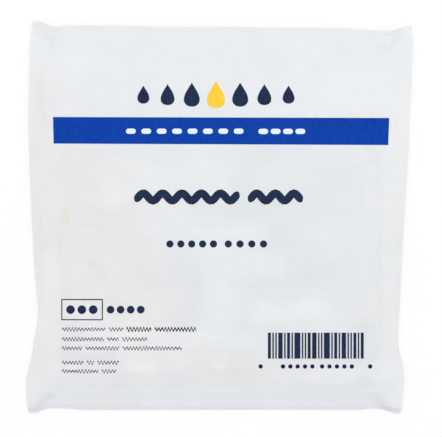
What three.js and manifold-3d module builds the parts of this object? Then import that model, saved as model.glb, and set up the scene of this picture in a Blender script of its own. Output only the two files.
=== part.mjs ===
// A disposable shower cap in its sealed film pouch, with the tear strip that opens it.
// Millimetres. +X runs across the pouch, +Y to its top edge, +Z up from the table that it lies on.
// The origin is the middle of the footprint, on the table.
import * as THREE from "three";
import { mergeVertices } from "three/addons/utils/BufferGeometryUtils.js";
import Module from "manifold-3d";

const wasm = await Module();
wasm.setup();

// Pouch
const pouchWidth = 101.6;
const pouchHeight = 101.6;
const pouchFilm = 0.4; // thicker than the real film, which is about 0.045
const sheetGap = 0.3; // clearance between any two sheets that touch on the real thing
const sealLand = 1.3; // height of the weld along the top and the bottom edge
const tearStripHeight = 9;
const sideDrawIn = 3.4; // how far the bulge pulls the sides in at their narrowest
const earReach = 8; // how far along an edge the pulled corner tips run
const earRise = 1.3; // how far the corner tips stand out past the edges

// Printed band across the front
const bandMargin = 6.6; // from the side of the pouch to the end of the band
const bandHeight = 6.9;
const bandDrop = 24.4; // from the pouch's top edge to the band's top edge
const inkThickness = 0.2;

// Folded crown film of the cap
const plyThickness = 0.25;
const plyGap = 0.15;
const pliesPerStack = 3; // the film is folded up, back and up again into a strip
const stackCount = 3; // and the strip is folded over on itself twice more
const packetMargin = 6.8; // from the side of the pouch to the end of the packet
const packetLift = 12.4; // from the bottom edge of the pouch to the packet
const packetHeight = 57;
const stackSetback = 10.4; // each further fold ends this much short of the one below it
const filmFall = 4.5; // run in which the front film drops off the packet
const filmEase = 1; // run that the film stays up past what it lies on

// Gathered rim of the cap
const hemDiameter = 3.3;
const hemWall = 0.4;
const hemSlit = 0.8; // the folded-over edge stays open this far between its weld spots
const hemLoopWidth = 11;
const hemInset = 8; // from the end of the packet to the end of the rim loop
const hemLift = 5.6; // from the packet's lower edge to the rim loop
const hemShoulder = 14; // run in which the front film comes down from the rim
const elasticDiameter = 1.3;

// Grid steps and facets
const coarseStep = 7;
const fineStep = 3.8;
const fallStep = 1.5;
const sealStep = 2.7;
const bendSteps = 4;
const ringSteps = 12;
const loopEndSteps = 8;

// Worked out from the sizes above
const halfWidth = pouchWidth / 2;
const halfHeight = pouchHeight / 2;
const sealThickness = 2 * pouchFilm + sheetGap;
const frontLevel = pouchFilm + sheetGap;
const tearLine = halfHeight - tearStripHeight;
const packetHalf = halfWidth - packetMargin;
const packetBottom = packetLift - halfHeight;
const plyPitch = plyThickness + plyGap;
const packetLevel = frontLevel;
const packetThickness = (stackCount * pliesPerStack - 1) * plyPitch + plyThickness;
const hemLevel = packetLevel + packetThickness + sheetGap;
const hemHalf = packetHalf - hemInset;
const hemBottom = packetBottom + hemLift;
const hemTop = hemBottom + hemLoopWidth + hemDiameter;

// Draw-in of each side and rise of each edge, as places along it and shares of the sizes above
const leftSideShares = [
  [0, 0], [0.05, -0.12], [0.1, -0.1], [0.15, 0.3], [0.2, 0.66], [0.26, 0.72],
  [0.36, 0.5], [0.5, 0.22], [0.62, 0.04], [0.85, 0.02], [0.95, 0.12], [1, 0.26],
];
const rightSideShares = [
  [0, 0.82], [0.05, 0.68], [0.1, 0.62], [0.15, 0.94], [0.2, 1], [0.3, 0.92],
  [0.42, 0.7], [0.56, 0.5], [0.7, 0.22], [0.85, 0.06], [0.95, -0.08], [1, 0.02],
];
const edgeShares = [[0, 1], [0.3, 0.72], [0.7, 0.1], [1, 0]];

// A smooth value between the hand-set pairs of place and value
function profileAt(pairs, place) {
  if (place <= pairs[0][0]) return pairs[0][1];
  for (let i = 1; i < pairs.length; i++) {
    const [start, from] = pairs[i - 1];
    const [end, to] = pairs[i];
    if (place <= end) return from + (to - from) * ease((place - start) / (end - start));
  }
  return pairs[pairs.length - 1][1];
}

function ease(share) {
  const t = THREE.MathUtils.clamp(share, 0, 1);
  return t * t * (3 - 2 * t);
}

// Values from the first break to the last that pass through every break
function gridLines(breaks, step) {
  const lines = [breaks[0]];
  for (let i = 1; i < breaks.length; i++) {
    const span = breaks[i] - breaks[i - 1];
    const count = Math.max(1, Math.ceil(span / step));
    for (let k = 1; k <= count; k++) lines.push(breaks[i - 1] + (span * k) / count);
  }
  return lines;
}

function geometryOf(positions, index) {
  const geometry = new THREE.BufferGeometry();
  geometry.setAttribute("position", new THREE.Float32BufferAttribute(positions, 3));
  geometry.setIndex(index);
  geometry.computeVertexNormals();
  return geometry;
}

// Where a point of the flat pouch lies once the sides are drawn in and the corner tips pulled out
function outlinePoint(x, y) {
  const upShare = (y + halfHeight) / pouchHeight;
  const side = x < 0 ? -1 : 1;
  const shares = x < 0 ? leftSideShares : rightSideShares;
  const edge = halfWidth - sideDrawIn * profileAt(shares, upShare);
  const margin = Math.max(0, Math.abs(x) - packetHalf);
  const drawn = margin * ((edge - packetHalf) / packetMargin);
  const tip = earRise * profileAt(edgeShares, (halfWidth - Math.abs(x)) / earReach);
  const nearEdge = ease((Math.abs(y) - (halfHeight - earReach)) / earReach);
  return {
    x: side * (Math.min(Math.abs(x), packetHalf) + drawn),
    y: y + Math.sign(y) * tip * nearEdge,
  };
}

// How high the packet and the rim loop hold the front film over the place x, y of the flat pouch
function filmRise(x, y) {
  const held = (level) => level + sheetGap - frontLevel;
  const across = (half, run) => 1 - ease((Math.abs(x) - half - filmEase) / run);
  const steps = [
    [packetBottom - filmEase - filmFall, 0],
    [packetBottom - filmEase, held(hemLevel - sheetGap)],
  ];
  for (let stack = stackCount - 1; stack >= 0; stack--) {
    const top = packetBottom + packetHeight - stack * stackSetback + filmEase;
    steps.push([top, held(stackTop(stack))]);
  }
  const last = steps[steps.length - 1][0];
  steps.push([last + filmFall, 0]);
  const packet = profileAt(steps, y) * across(packetHalf, packetMargin - filmEase);
  const below = ease((y - (packetBottom - filmEase - filmFall)) / (hemLift + filmFall));
  const above = 1 - ease((y - hemTop - filmEase) / hemShoulder);
  const rim = held(hemLevel + hemDiameter) * below * above * across(hemHalf, hemShoulder);
  return Math.max(packet, rim);
}

// Height of the upper face of one stack of plies
function stackTop(stack) {
  return packetLevel + ((stack + 1) * pliesPerStack - 1) * plyPitch + plyThickness;
}

// A closed sheet over a grid of columns and rows, one thickness high above its underside
function sheet(columns, rows, underside, thickness) {
  const positions = [];
  for (const lift of [0, thickness])
    for (const y of rows)
      for (const x of columns) {
        const point = outlinePoint(x, y);
        positions.push(point.x, point.y, underside(x, y) + lift);
      }
  const across = columns.length;
  const layer = across * rows.length;
  const index = [];
  const quad = (a, b, c, d) => index.push(a, b, c, a, c, d);
  for (let row = 0; row + 1 < rows.length; row++)
    for (let column = 0; column + 1 < across; column++) {
      const a = row * across + column;
      quad(a, a + across, a + across + 1, a + 1);
      quad(layer + a, layer + a + 1, layer + a + across + 1, layer + a + across);
    }
  const rim = rimOf(across, rows.length);
  rim.forEach((a, i) => {
    const b = rim[(i + 1) % rim.length];
    quad(a, b, b + layer, a + layer);
  });
  return geometryOf(positions, index);
}

// Vertex numbers round the edge of a grid, once round
function rimOf(across, up) {
  const rim = [];
  for (let i = 0; i < across - 1; i++) rim.push(i);
  for (let i = 0; i < up - 1; i++) rim.push(i * across + across - 1);
  for (let i = across - 1; i > 0; i--) rim.push((up - 1) * across + i);
  for (let i = up - 1; i > 0; i--) rim.push(i * across);
  return rim;
}

function finish(color, roughness, opacity = 1) {
  return new THREE.MeshStandardMaterial({
    color, roughness, opacity, metalness: 0, transparent: opacity < 1,
  });
}

function named(name, geometry, material) {
  const mesh = new THREE.Mesh(geometry, material);
  mesh.name = name;
  return mesh;
}

// Grid columns over the whole width, finer where the film falls off the packet
function filmColumns() {
  const fall = gridLines([packetHalf - filmEase, packetHalf + filmEase, halfWidth], fallStep);
  const middle = gridLines([-packetHalf + filmEase, packetHalf - filmEase], fineStep);
  return [...fall.map((x) => -x).reverse(), ...middle.slice(1, -1), ...fall];
}

function backFilm() {
  const columns = gridLines([-halfWidth, -packetHalf, packetHalf, halfWidth], coarseStep);
  const rows = gridLines([sealLand + sheetGap - halfHeight, packetBottom, tearLine], coarseStep);
  const film = sheet(columns, rows, () => 0, pouchFilm);
  return named("back_film", film, finish(0xe4e8eb, 0.42, 0.9));
}

function frontFilm() {
  const packetTop = packetBottom + packetHeight;
  const rows = gridLines(
    [
      sealLand + sheetGap - halfHeight, packetBottom - filmEase - filmFall, packetBottom - filmEase,
      packetBottom, hemBottom, hemTop, packetTop + filmEase, packetTop + filmEase + filmFall, tearLine,
    ],
    fineStep,
  );
  const underside = (x, y) => frontLevel + filmRise(x, y);
  const film = sheet(filmColumns(), rows, underside, pouchFilm);
  return named("front_film", film, finish(0xe9ecef, 0.38, 0.9));
}

// The blue ink block printed across the front film
function printedBand() {
  const end = halfWidth - bandMargin;
  const top = halfHeight - bandDrop;
  const columns = gridLines([-end, end], fineStep);
  const rows = gridLines([top - bandHeight, top], fineStep);
  const underside = (x, y) => frontLevel + filmRise(x, y) + pouchFilm + sheetGap;
  const ink = sheet(columns, rows, underside, inkThickness);
  return named("printed_band", ink, finish(0x17409f, 0.45));
}

// Grid columns over the whole width, finer where the corner tips are pulled out
function edgeColumns() {
  const tip = gridLines([halfWidth - earReach, halfWidth], sealStep);
  const middle = gridLines([earReach - halfWidth, halfWidth - earReach], coarseStep);
  return [...tip.map((x) => -x).reverse(), ...middle.slice(1, -1), ...tip];
}

// The line where both films are welded together along one edge
function seal(name, edge) {
  const low = edge < 0 ? -halfHeight : halfHeight - sealLand;
  const weld = sheet(edgeColumns(), [low, low + sealLand], () => 0, sealThickness);
  return named(name, weld, finish(0xdfe3e7, 0.35, 0.92));
}

// One film of the strip above the tear line
function stripFilm(name, level) {
  const rows = gridLines([tearLine + sheetGap, halfHeight - sealLand - sheetGap], sealStep);
  const film = sheet(edgeColumns(), rows, () => level, pouchFilm);
  return named(name, film, finish(0xe6eaed, 0.4, 0.9));
}

// A closed three.js mesh as a solid that can be joined to others
function solidOf(geometry) {
  const bare = geometry.index ? geometry.toNonIndexed() : geometry.clone();
  bare.deleteAttribute("normal");
  bare.deleteAttribute("uv");
  const merged = mergeVertices(bare);
  return new wasm.Manifold(
    new wasm.Mesh({
      numProp: 3,
      vertProperties: merged.attributes.position.array,
      triVerts: new Uint32Array(merged.index.array),
    }),
  );
}

function joined(solids) {
  const whole = solids.reduce((sum, solid) => sum.add(solid)).getMesh();
  return geometryOf(Array.from(whole.vertProperties), Array.from(whole.triVerts));
}

// Outline of a ribbon of film that follows a line, half a ply to each side of it
function ribbonShape(line) {
  const half = plyThickness / 2;
  const beside = (side) =>
    line.map(({ x, y, nx, ny }) => new THREE.Vector2(x + side * half * nx, y + side * half * ny));
  return new THREE.Shape([...beside(1), ...beside(-1).reverse()]);
}

// Points and normals of a half-turn about a centre, from its lower end to its upper end
function halfTurn(centreX, centreY, radius, side) {
  const turn = [];
  for (let i = 0; i <= bendSteps; i++) {
    const angle = (i / bendSteps - 1 / 2) * Math.PI;
    const nx = side * Math.cos(angle);
    const ny = Math.sin(angle);
    turn.push({ x: centreX + radius * nx, y: centreY + radius * ny, nx: side * nx, ny: side * ny });
  }
  return turn;
}

// One stack of plies: film run up, back and up again, seen from the side and drawn out across the pouch
function plyStack(stack) {
  const low = packetBottom + plyPitch;
  const high = packetBottom + packetHeight - stack * stackSetback - plyPitch;
  const level = (ply) => packetLevel + (stack * pliesPerStack + ply) * plyPitch + plyThickness / 2;
  const line = [{ x: low, y: level(0), nx: 0, ny: -1 }];
  for (let ply = 0; ply + 1 < pliesPerStack; ply++) {
    const side = ply % 2 ? -1 : 1;
    line.push(...halfTurn(side > 0 ? high : low, level(ply + 1 / 2), plyPitch / 2, side));
  }
  line.push({ x: pliesPerStack % 2 ? high : low, y: level(pliesPerStack - 1), nx: 0, ny: -1 });
  const length = 2 * (packetHalf - packetThickness / stackCount);
  const drawn = new THREE.ExtrudeGeometry(ribbonShape(line), { depth: length, bevelEnabled: false });
  const basis = new THREE.Matrix4().makeBasis(
    new THREE.Vector3(0, 1, 0), new THREE.Vector3(0, 0, 1), new THREE.Vector3(1, 0, 0),
  );
  return drawn.applyMatrix4(basis).translate(-length / 2, 0, 0);
}

// The bends at one end of the packet that carry the plies of one stack into the next
function endBends(stack) {
  const side = stack % 2 ? -1 : 1;
  const low = packetBottom + plyPitch;
  const high = packetBottom + packetHeight - (stack + 1) * stackSetback - plyPitch;
  const middle = packetLevel + ((stack + 1) * pliesPerStack - 1 / 2) * plyPitch + plyThickness / 2;
  const end = side * (packetHalf - packetThickness / stackCount - plyPitch);
  const bends = [];
  for (let ply = 0; ply < pliesPerStack; ply++) {
    const turn = halfTurn(end, middle, (ply + 1 / 2) * plyPitch, side);
    const shape = ribbonShape(turn);
    const drawn = new THREE.ExtrudeGeometry(shape, { depth: high - low, bevelEnabled: false });
    const basis = new THREE.Matrix4().makeBasis(
      new THREE.Vector3(1, 0, 0), new THREE.Vector3(0, 0, 1), new THREE.Vector3(0, -1, 0),
    );
    bends.push(drawn.applyMatrix4(basis).translate(0, high, 0));
  }
  return bends;
}

function capCrownFilm() {
  const solids = [];
  for (let stack = 0; stack < stackCount; stack++) {
    solids.push(solidOf(plyStack(stack)));
    if (stack + 1 < stackCount) solids.push(...endBends(stack).map(solidOf));
  }
  return named("cap_crown_film", joined(solids), finish(0xeef0f1, 0.35, 0.85));
}

// The line of the rim loop: two runs across the packet, joined by half circles, with outward normals
function rimLine() {
  const radius = hemLoopWidth / 2;
  const straight = hemHalf - hemDiameter / 2 - radius;
  const line = [];
  for (const side of [1, -1])
    for (let i = 0; i <= loopEndSteps; i++) {
      const angle = side * Math.PI * (i / loopEndSteps - 1 / 2);
      const nx = side * Math.cos(angle);
      const ny = side > 0 ? Math.sin(angle) : -Math.sin(-angle);
      line.push({ x: side * straight + radius * nx, y: radius * ny, nx, ny });
    }
  return line;
}

// A closed ring made by carrying a section, in points of outward and up, round the rim line
function rimRing(section) {
  const line = rimLine();
  const centreY = hemBottom + (hemLoopWidth + hemDiameter) / 2;
  const centreZ = hemLevel + hemDiameter / 2;
  const positions = [];
  for (const { x, y, nx, ny } of line)
    for (const [out, up] of section)
      positions.push(x + nx * out, centreY + y + ny * out, centreZ + up);
  const count = section.length;
  const index = [];
  line.forEach((_, i) => {
    const here = i * count;
    const next = ((i + 1) % line.length) * count;
    section.forEach((__, j) => {
      const k = (j + 1) % count;
      index.push(here + j, next + j, next + k, here + j, next + k, here + k);
    });
  });
  return geometryOf(positions, index);
}

function arc(radius, from, to, steps) {
  return Array.from({ length: steps + 1 }, (_, i) => {
    const angle = from + ((to - from) * i) / steps;
    return [radius * Math.cos(angle), radius * Math.sin(angle)];
  });
}

// The rim's casing: film folded round the elastic, open in a slit on the inside of the loop
function capHem() {
  const outer = hemDiameter / 2;
  const slitAngle = Math.asin(hemSlit / hemDiameter);
  const reach = Math.PI - slitAngle;
  const outside = arc(outer, -reach, reach, ringSteps);
  const inside = arc(outer - hemWall, reach, -reach, ringSteps);
  return named("cap_hem", rimRing([...outside, ...inside]), finish(0xf0f2f3, 0.4, 0.9));
}

function capElastic() {
  const section = arc(elasticDiameter / 2, 0, 2 * Math.PI, ringSteps).slice(0, -1);
  return named("cap_elastic", rimRing(section), finish(0xf4f2ec, 0.7));
}

const pouch = new THREE.Group();
pouch.add(backFilm(), frontFilm(), printedBand(), seal("bottom_seal", -1));

const tearStrip = new THREE.Group();
tearStrip.add(stripFilm("strip_back_film", 0), stripFilm("strip_front_film", frontLevel));
tearStrip.add(seal("top_seal", 1));

const cap = new THREE.Group();
cap.add(capCrownFilm(), capHem(), capElastic());

const group = new THREE.Group();
group.add(pouch, tearStrip, cap);

// The corners pull out unevenly, so the footprint is brought back over the origin
const footprint = new THREE.Box3().setFromObject(group);
const middle = footprint.getCenter(new THREE.Vector3());
group.position.set(-middle.x, -middle.y, -footprint.min.z);

export default group;
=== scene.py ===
"""A folded disposable shower cap in its sealed, printed film pouch, seen from straight above."""

import math

import bpy
import numpy as np
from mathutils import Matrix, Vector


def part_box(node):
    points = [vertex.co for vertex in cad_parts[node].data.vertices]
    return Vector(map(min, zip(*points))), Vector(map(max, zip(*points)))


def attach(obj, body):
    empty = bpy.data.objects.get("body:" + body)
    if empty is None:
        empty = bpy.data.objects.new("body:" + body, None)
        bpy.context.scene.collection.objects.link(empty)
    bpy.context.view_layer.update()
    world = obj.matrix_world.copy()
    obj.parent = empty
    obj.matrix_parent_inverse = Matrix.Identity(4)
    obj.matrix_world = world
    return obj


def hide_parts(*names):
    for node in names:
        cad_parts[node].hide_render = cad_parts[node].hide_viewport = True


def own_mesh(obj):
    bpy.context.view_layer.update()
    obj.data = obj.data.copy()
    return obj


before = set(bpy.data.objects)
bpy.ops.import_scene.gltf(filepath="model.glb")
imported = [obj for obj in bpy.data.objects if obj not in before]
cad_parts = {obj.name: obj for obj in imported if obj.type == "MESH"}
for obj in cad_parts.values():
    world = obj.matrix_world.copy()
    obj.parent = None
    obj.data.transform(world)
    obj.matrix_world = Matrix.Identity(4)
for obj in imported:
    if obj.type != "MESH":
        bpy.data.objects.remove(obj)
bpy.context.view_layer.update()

MM = 0.001

# The view: how much of the pouch one pixel of the photograph shows, and where its middle falls
PHOTO_WIDTH_PX = 442
MM_PER_PX = 0.2646
VIEW_MIDDLE_MM = (0.33, -0.38)
CAMERA_HEIGHT_MM = 2000
SENSOR_MM = 36

# Outline of the pouch in mm from the middle of its footprint.
# A side is (Y along it, X of the side), an edge is (X along it, Y of the edge).
LEFT_SIDE = [
    (-52, -50.6), (-50.4, -50.9), (-48, -51.15), (-44, -51.2), (-41.5, -50.95), (-38.6, -50.15),
    (-34, -49.3), (-29.9, -48.65), (-27, -48.15), (-24.5, -48.05), (-20, -48.5), (-14, -49.0),
    (-8, -49.35), (0, -49.75), (5, -49.98), (12, -50.28), (18, -50.5), (25, -50.62), (33, -50.55),
    (38, -50.35), (44, -50.28), (46.5, -50.15), (48, -49.9), (50, -49.85), (52, -49.5),
]
RIGHT_SIDE = [
    (-52, 47.8), (-50.4, 48.15), (-47, 48.5), (-43.2, 48.9), (-40.2, 48.6), (-37, 47.95),
    (-34.5, 47.4), (-31, 47.25), (-26, 47.5), (-17, 47.95), (-9, 48.3), (0, 48.85), (7, 49.3),
    (13, 49.7), (19, 50.1), (24, 50.2), (29, 50.45), (34, 50.75), (41.5, 51.0), (46.3, 51.15),
    (49, 50.85), (50.5, 50.85), (52, 50.4),
]
TOP_EDGE = [
    (-50, 51.85), (-48.4, 51.85), (-47.2, 51.5), (-45.4, 50.85), (-43.6, 50.4), (-41.5, 50.5),
    (-36, 50.65), (-30, 50.65), (-20, 50.5), (-14, 50.35), (6, 50.2), (12, 50.1), (28, 50.0),
    (33, 49.85), (39, 49.5), (42, 49.25), (45, 49.2), (46.8, 49.75), (48.2, 50.15), (50, 50.55),
]
BOTTOM_EDGE = [
    (-51, -51.5), (-49.9, -51.95), (-48.6, -51.75), (-47, -51.1), (-45.6, -50.7), (-44, -50.6),
    (-40, -50.75), (-35, -51.08), (4, -51.05), (9, -51.0), (36, -51.05), (41, -50.7),
    (42.5, -50.85), (44, -51.2), (45.5, -51.65), (46.6, -51.95), (48, -51.98),
]

# The flat pouch and its welds
FILM_MM = 0.05
WELD_MM = 1.3
WIDTH_MM = 101.6
HALF_HEIGHT_MM = 50.8
BOTTOM_MM = WELD_MM - HALF_HEIGHT_MM
TOP_MM = HALF_HEIGHT_MM - WELD_MM
TEAR_LINE_MM = 41.8
GRID_MM = 0.5
SHARP_DEGREES = 50

# Heights of the pouch's edges and of the back film's upper face where it rests, and the bottom weld's droop:
# how far, where it ends, and over what width it fades
SEAM_Z_MM = 0.7
RESTING_MM = 0.06
DROOP_MM = 0.4
DROOP_END_MM = 1.61
DROOP_FADE_MM = 1.4

# How far in from the edges the back film lies down, the films part, and crumpling and folds are full, and
# how far from the tear line the rows of the mesh are straight again
EDGE_REACH_MM = 9
PARTING_MM = 3
CRUMPLE_REACH_MM = 5
FOLD_REACH_MM = 1.6
TEAR_REACH_MM = 4

# The sides of the bulge: how round, how wide, and how much wider for each mm that it stands
SIDE_ROUNDNESS = 2.2
SIDE_WIDTH_MM = 6
SIDE_SPREAD = 0.9

# How high the front film stands along the middle of the pouch: (Y, Z)
FRONT_PROFILE = [
    (-52, 0.7), (-50.8, 0.78), (-49, 1.3), (-47, 1.95), (-45.4, 2.5), (-44.2, 3.1), (-43, 4.05),
    (-41.5, 5.25), (-40, 6.25), (-38, 7.1), (-35, 7.75), (-31, 8.1), (-27, 8.2), (-20, 7.5), (-13, 6.2),
    (-6, 5.3), (2, 4.5), (10, 3.5), (18, 2.6), (24, 1.7), (30, 1.15), (40, 0.9), (52, 0.8),
]

# How far the foot of that rise wanders up or down along the bottom of the pouch: (X, shift in Y).
# It does so below its top, and fades out there and at the weld
FOOT_SWAY = [(-48, 0.5), (-30, 0.6), (-13, 0.2), (2, -0.8), (14, 0.1), (27, 1.3), (44, 0.6)]
FOOT_TOP_MM = -30
FOOT_TOP_FADE_MM = 8
FOOT_WELD_FADE_MM = 6

# Folds in the front film: X and Y of start and end, width to the left and right of that way, and height
FOLDS = [
    (-49.0, 52.0, -41.4, 45.6, 3.0, 1.6, 0.8),
    (49.2, 50.6, 42.0, 43.2, 1.1, 2.8, 0.65),
    (-50.6, -51.6, -42.6, -44.9, 2.8, 0.8, 1.2),
    (47.6, -52.6, 38.6, -45.4, 1.3, 2.8, 1.2),
    (7, -17.2, 36, -8.6, 5.5, 2.6, 0.55),
    (-4, 2.6, 34, 6.8, 4.5, 2.4, 0.4),
    (-24, 10, -12, 20, 4.5, 3.0, 0.35),
    (-34, -10.5, -27.5, -17.2, 2.6, 1.2, 0.3),
    (-5.6, -25.5, -5.2, -9.5, 1.6, 4.0, 0.32),
    (18, -25, 34, -30.5, 3.0, 1.6, 0.35),
    (26, 12.5, 42, 17, 3.6, 2.0, 0.3),
    (-42.6, 12, -40.6, -4, 1.0, 2.4, 0.28),
    (-47.2, 38, -45.6, 22, 1.6, 1.0, 0.45),
    (-47.4, 4, -46.0, -30, 0.7, 0.9, 0.3),
    (45.9, 30, 45.2, -6, 0.8, 0.7, 0.28),
    (47.9, 14, 45.7, -32, 0.6, 0.7, 0.3),
    (-20, -34, 20, -35.4, 2.4, 1.6, 0.3),
    (-38, -36.5, -20, -34.5, 2.0, 1.6, 0.35),
]

# How far a fold wanders off its way, and how it fades in and out, in shares of its length
FOLD_WANDER_MM = 0.5
FOLD_LEAD = 0.35
FOLD_FADE_IN = 0.3
FOLD_FADE_OUT = 0.35

# Fine creases from handling, strewn over the bulge. Their turn is a middle and a spread, the rest are ranges
CREASE_COUNT = 44
CREASE_SEED = 19
CREASE_X_MM = (-41, 41)
CREASE_Y_MM = (-40, 17)
CREASE_TURN = (0.35, 0.8)
CREASE_HALF_LENGTH_MM = (3, 9)
CREASE_WIDTH_MM = (0.5, 1.5)
CREASE_HEIGHT_MM = (0.04, 0.12)

# Painted light and shade on the front film, in strokes: patches painted lighter or darker in place of its
# shading, darker along the corner creases and the bottom weld: X and Y of a stroke's start and end, half
# width, and how much lighter or darker
PAINTED_LIGHT_AND_SHADE = [
    (-47.6, 39, -47.2, 26, 3.4, -0.6), (-33, 31, -20, 33, 4.5, -0.4),
    (-16, 8.5, -3, 11.5, 6.5, 1.15), (-28.5, 6.5, -18.5, 19, 3.2, 0.8),
    (12, 9, 22, 11, 4, 0.4), (27, 16, 42, 17.5, 4, 0.6),
    (-14, -3.5, 6, -5.5, 4.8, 0.8), (-1, -9.5, -1, -29, 4.6, 0.55),
    (-10.2, -9, -10.2, -26, 4.6, -0.4), (20.5, -13.2, 34, -13.6, 3.0, -0.45),
    (5.5, -19.6, 24, -18.6, 2.4, -0.65), (33.5, -20.5, 36.5, -28, 2.6, -0.2),
    (14.5, -5.2, 20, -6.6, 2.4, -0.75), (3.5, 9.5, 12, 14.5, 1.5, -0.4),
    (39.5, 12, 39.5, -4, 3.2, 0.5), (12, -25, 28, -25, 2.6, 1.0),
    (4, 1.2, 11, 0.4, 1.6, -0.25), (20, -4.6, 33, -3.6, 2.4, 0.5),
    (22, -26, 31, -28.5, 2.6, 0.5), (-40, -26, -24, -29.5, 3, 0.85),
    (-34, -33, 10, -34.5, 3.4, 0.9), (-24, -37.5, 0, -37.5, 2.6, 1.5),
    (-18, -42.5, -4, -40.8, 2, -0.1), (-4, -40.8, 8, -40.4, 2, -0.15),
    (-46, -44.8, 46, -44.8, 0.9, -0.25), (-50, -48.3, 50, -48.3, 3.2, -0.5),
    (-50, -51.0, 48, -51.0, 0.9, -0.45), (-36, 46, 36, 46, 8, -0.28),
    (43, 8, 42, -32, 3.4, 0.25), (-34, -11.8, -30.4, -14.2, 0.9, -0.5),
    (-42, -6.4, -42, -9.2, 0.5, -0.3), (-41.2, -37, -41.2, -40, 0.6, -0.8),
    (-44, -12, -44, -32, 3.0, 0.65), (6, -12, 16, -12, 2.4, 0.65),
    (26, -42, 44, -42, 2.5, 0.4), (-24, 17, -10, 17, 2.5, -0.3),
    (14, -42, 36, -42, 1.8, 0.6), (-47, 20, -47, -8, 2.5, -0.25),
    (-40, 40, -24, 40, 3, 0.2), (16, -46.8, 46, -46.8, 2.6, 0.22),
    (-5, -2.5, 9, -2.5, 2.2, 0.5), (-46, 20, -44, 12, 3.0, -0.4),
    (43, 20, 42, 10, 2.6, -0.75), (-49.2, -49.7, -44.8, -46.6, 1.1, -0.9),
    (41.6, -47.8, 44.8, -50, 1.1, -1.1), (-46.6, 50.6, -43.8, 48.0, 1.5, -0.6),
    (47.4, 49.2, 44.8, 46.4, 1.4, -0.6),
]

# Where the blown film is less blue, in strokes too: how much less, from 0 to 1, comes last
NEUTRAL = [
    (-44, 18, -42, -22, 12, 1.0), (-34, 6, -22, -24, 12, 1.0), (-49, 38, -50, -36, 5, 1.0),
    (50.6, 36, 49.8, 14, 2.6, 1.0), (49, 10, 47.5, -38, 3.4, 1.0),
    (44, 2, 43, -36, 3.5, 0.5), (-46, -36, -30, -42, 4, 0.5), (-47, -24, -48, -38, 4.5, 1.0),
    (-50.9, -40, -50.4, -51, 1.2, 1.0), (48.4, -40, 47.9, -51, 1.2, 1.0),
    (-22, -38, 12, -40, 3.8, 1.0), (12, -41.5, 26, -42.5, 2.4, 0.6),
    (-44, -43, 36, -43.5, 2.6, 0.4),
]

# Where the film is faintly tinged, as if the cap's rim showed through, in strokes: how warm comes last.
# The tinge is on the film, so it stays there when the cap is out
WARM = [
    (-40.4, 1.5, -40.4, -1.0, 0.75, 0.4), (-40.4, -0.2, -40.4, -1.1, 0.6, 0.6),
    (-42.2, -5, -42.4, -12, 0.9, 0.1),
    (-43.5, -3, -44.5, -20, 3.2, 0.035),
]

# The film's middle tone, from 0 to 1, and how much the painted light and shade strokes and its own cloudiness
# add to it
MIDDLE_TONE = 0.58
PAINTED_SHADE_STRENGTH = 0.34
CLOUD_TONE = 0.16

# Strokes narrower than this are less ragged
RAGGED_FROM_MM = 3

# Layers of soft noise: strength, size of the lumps in mm, stretch along X, stretch along Y, and seed.
# The strength is in mm where the layer moves a surface
SEAM_LAYERS = [(0.2, 23, 1, 1, 5)]
CRUMPLE_LAYERS = [(0.24, 9, 1.7, 1, 21), (0.1, 4.6, 1.5, 1, 22)]
FINE_CRUMPLE_LAYERS = [(0.022, 2.1, 1, 1.6, 23)]
TEAR_LAYERS = [(0.22, 11, 1, 1, 81), (0.12, 2.7, 1, 1, 82)]
CLOUD_LAYERS = [(0.35, 11, 1, 1, 71), (0.4, 4, 1, 1.4, 72), (0.25, 1.9, 1.3, 1, 74)]
GREY_LAYERS = [(0.15, 7, 1, 1, 73)]
RAGGED_X_LAYERS = [(2.2, 7, 1, 1, 61), (1.2, 2.6, 1, 1, 62)]
RAGGED_Y_LAYERS = [(2.2, 7, 1, 1, 63), (1.2, 2.6, 1, 1, 64)]
PACKET_LAYERS = [(0.42, 17, 1, 1, 46), (0.3, 7, 1, 1, 41), (0.15, 2.6, 1.6, 1, 42)]
RUFFLE_LAYERS = [(0.5, 4.3, 1, 1, 57), (0.2, 1.3, 1, 1, 58)]

# The noise repeats after this many lumps, and the pouch's middle lies here in it
NOISE_LUMPS = 64
NOISE_START = (31.7, 23.3)

# The crumpling runs at 20 degrees to the pouch: cosine and sine
CRUMPLE_WAY = (0.94, 0.34)


def smooth_line(points):
    """A smooth curve through points, with no overshoot, as a function of the first value."""
    xs, ys = np.array(points, float).T
    secants = np.diff(ys) / np.diff(xs)
    before, after = secants[:-1], secants[1:]
    total = np.where(after + before == 0, 1, after + before)
    inner = np.where(after * before > 0, 2 * after * before / total, 0)
    slopes = np.concatenate([[secants[0]], inner, [secants[-1]]])

    def at(x):
        x = np.clip(x, xs[0], xs[-1])
        i = np.clip(np.searchsorted(xs, x) - 1, 0, len(xs) - 2)
        step = xs[i + 1] - xs[i]
        t = (x - xs[i]) / step
        rise = (1 + 2 * t) * (1 - t) ** 2 * ys[i] + t * t * (3 - 2 * t) * ys[i + 1]
        return rise + t * (1 - t) ** 2 * step * slopes[i] - t * t * (1 - t) * step * slopes[i + 1]

    return at


def ease(t):
    """0 up to t = 0, 1 from t = 1 on, and smooth between."""
    t = np.clip(t, 0, 1)
    return t * t * (3 - 2 * t)


def soft_noise(x, y, size, seed):
    """Smooth seeded noise from -1 to 1, whose lumps are about size mm across."""
    table = np.random.default_rng(seed).uniform(-1, 1, (NOISE_LUMPS, NOISE_LUMPS))
    gx, gy = x / size + NOISE_START[0], y / size + NOISE_START[1]
    i, j = np.floor(gx).astype(int), np.floor(gy).astype(int)
    fx, fy = ease(gx - i), ease(gy - j)

    def at(p, q):
        return table[p % NOISE_LUMPS, q % NOISE_LUMPS]

    low = at(i, j) * (1 - fx) + at(i + 1, j) * fx
    high = at(i, j + 1) * (1 - fx) + at(i + 1, j + 1) * fx
    return low * (1 - fy) + high * fy


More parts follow.
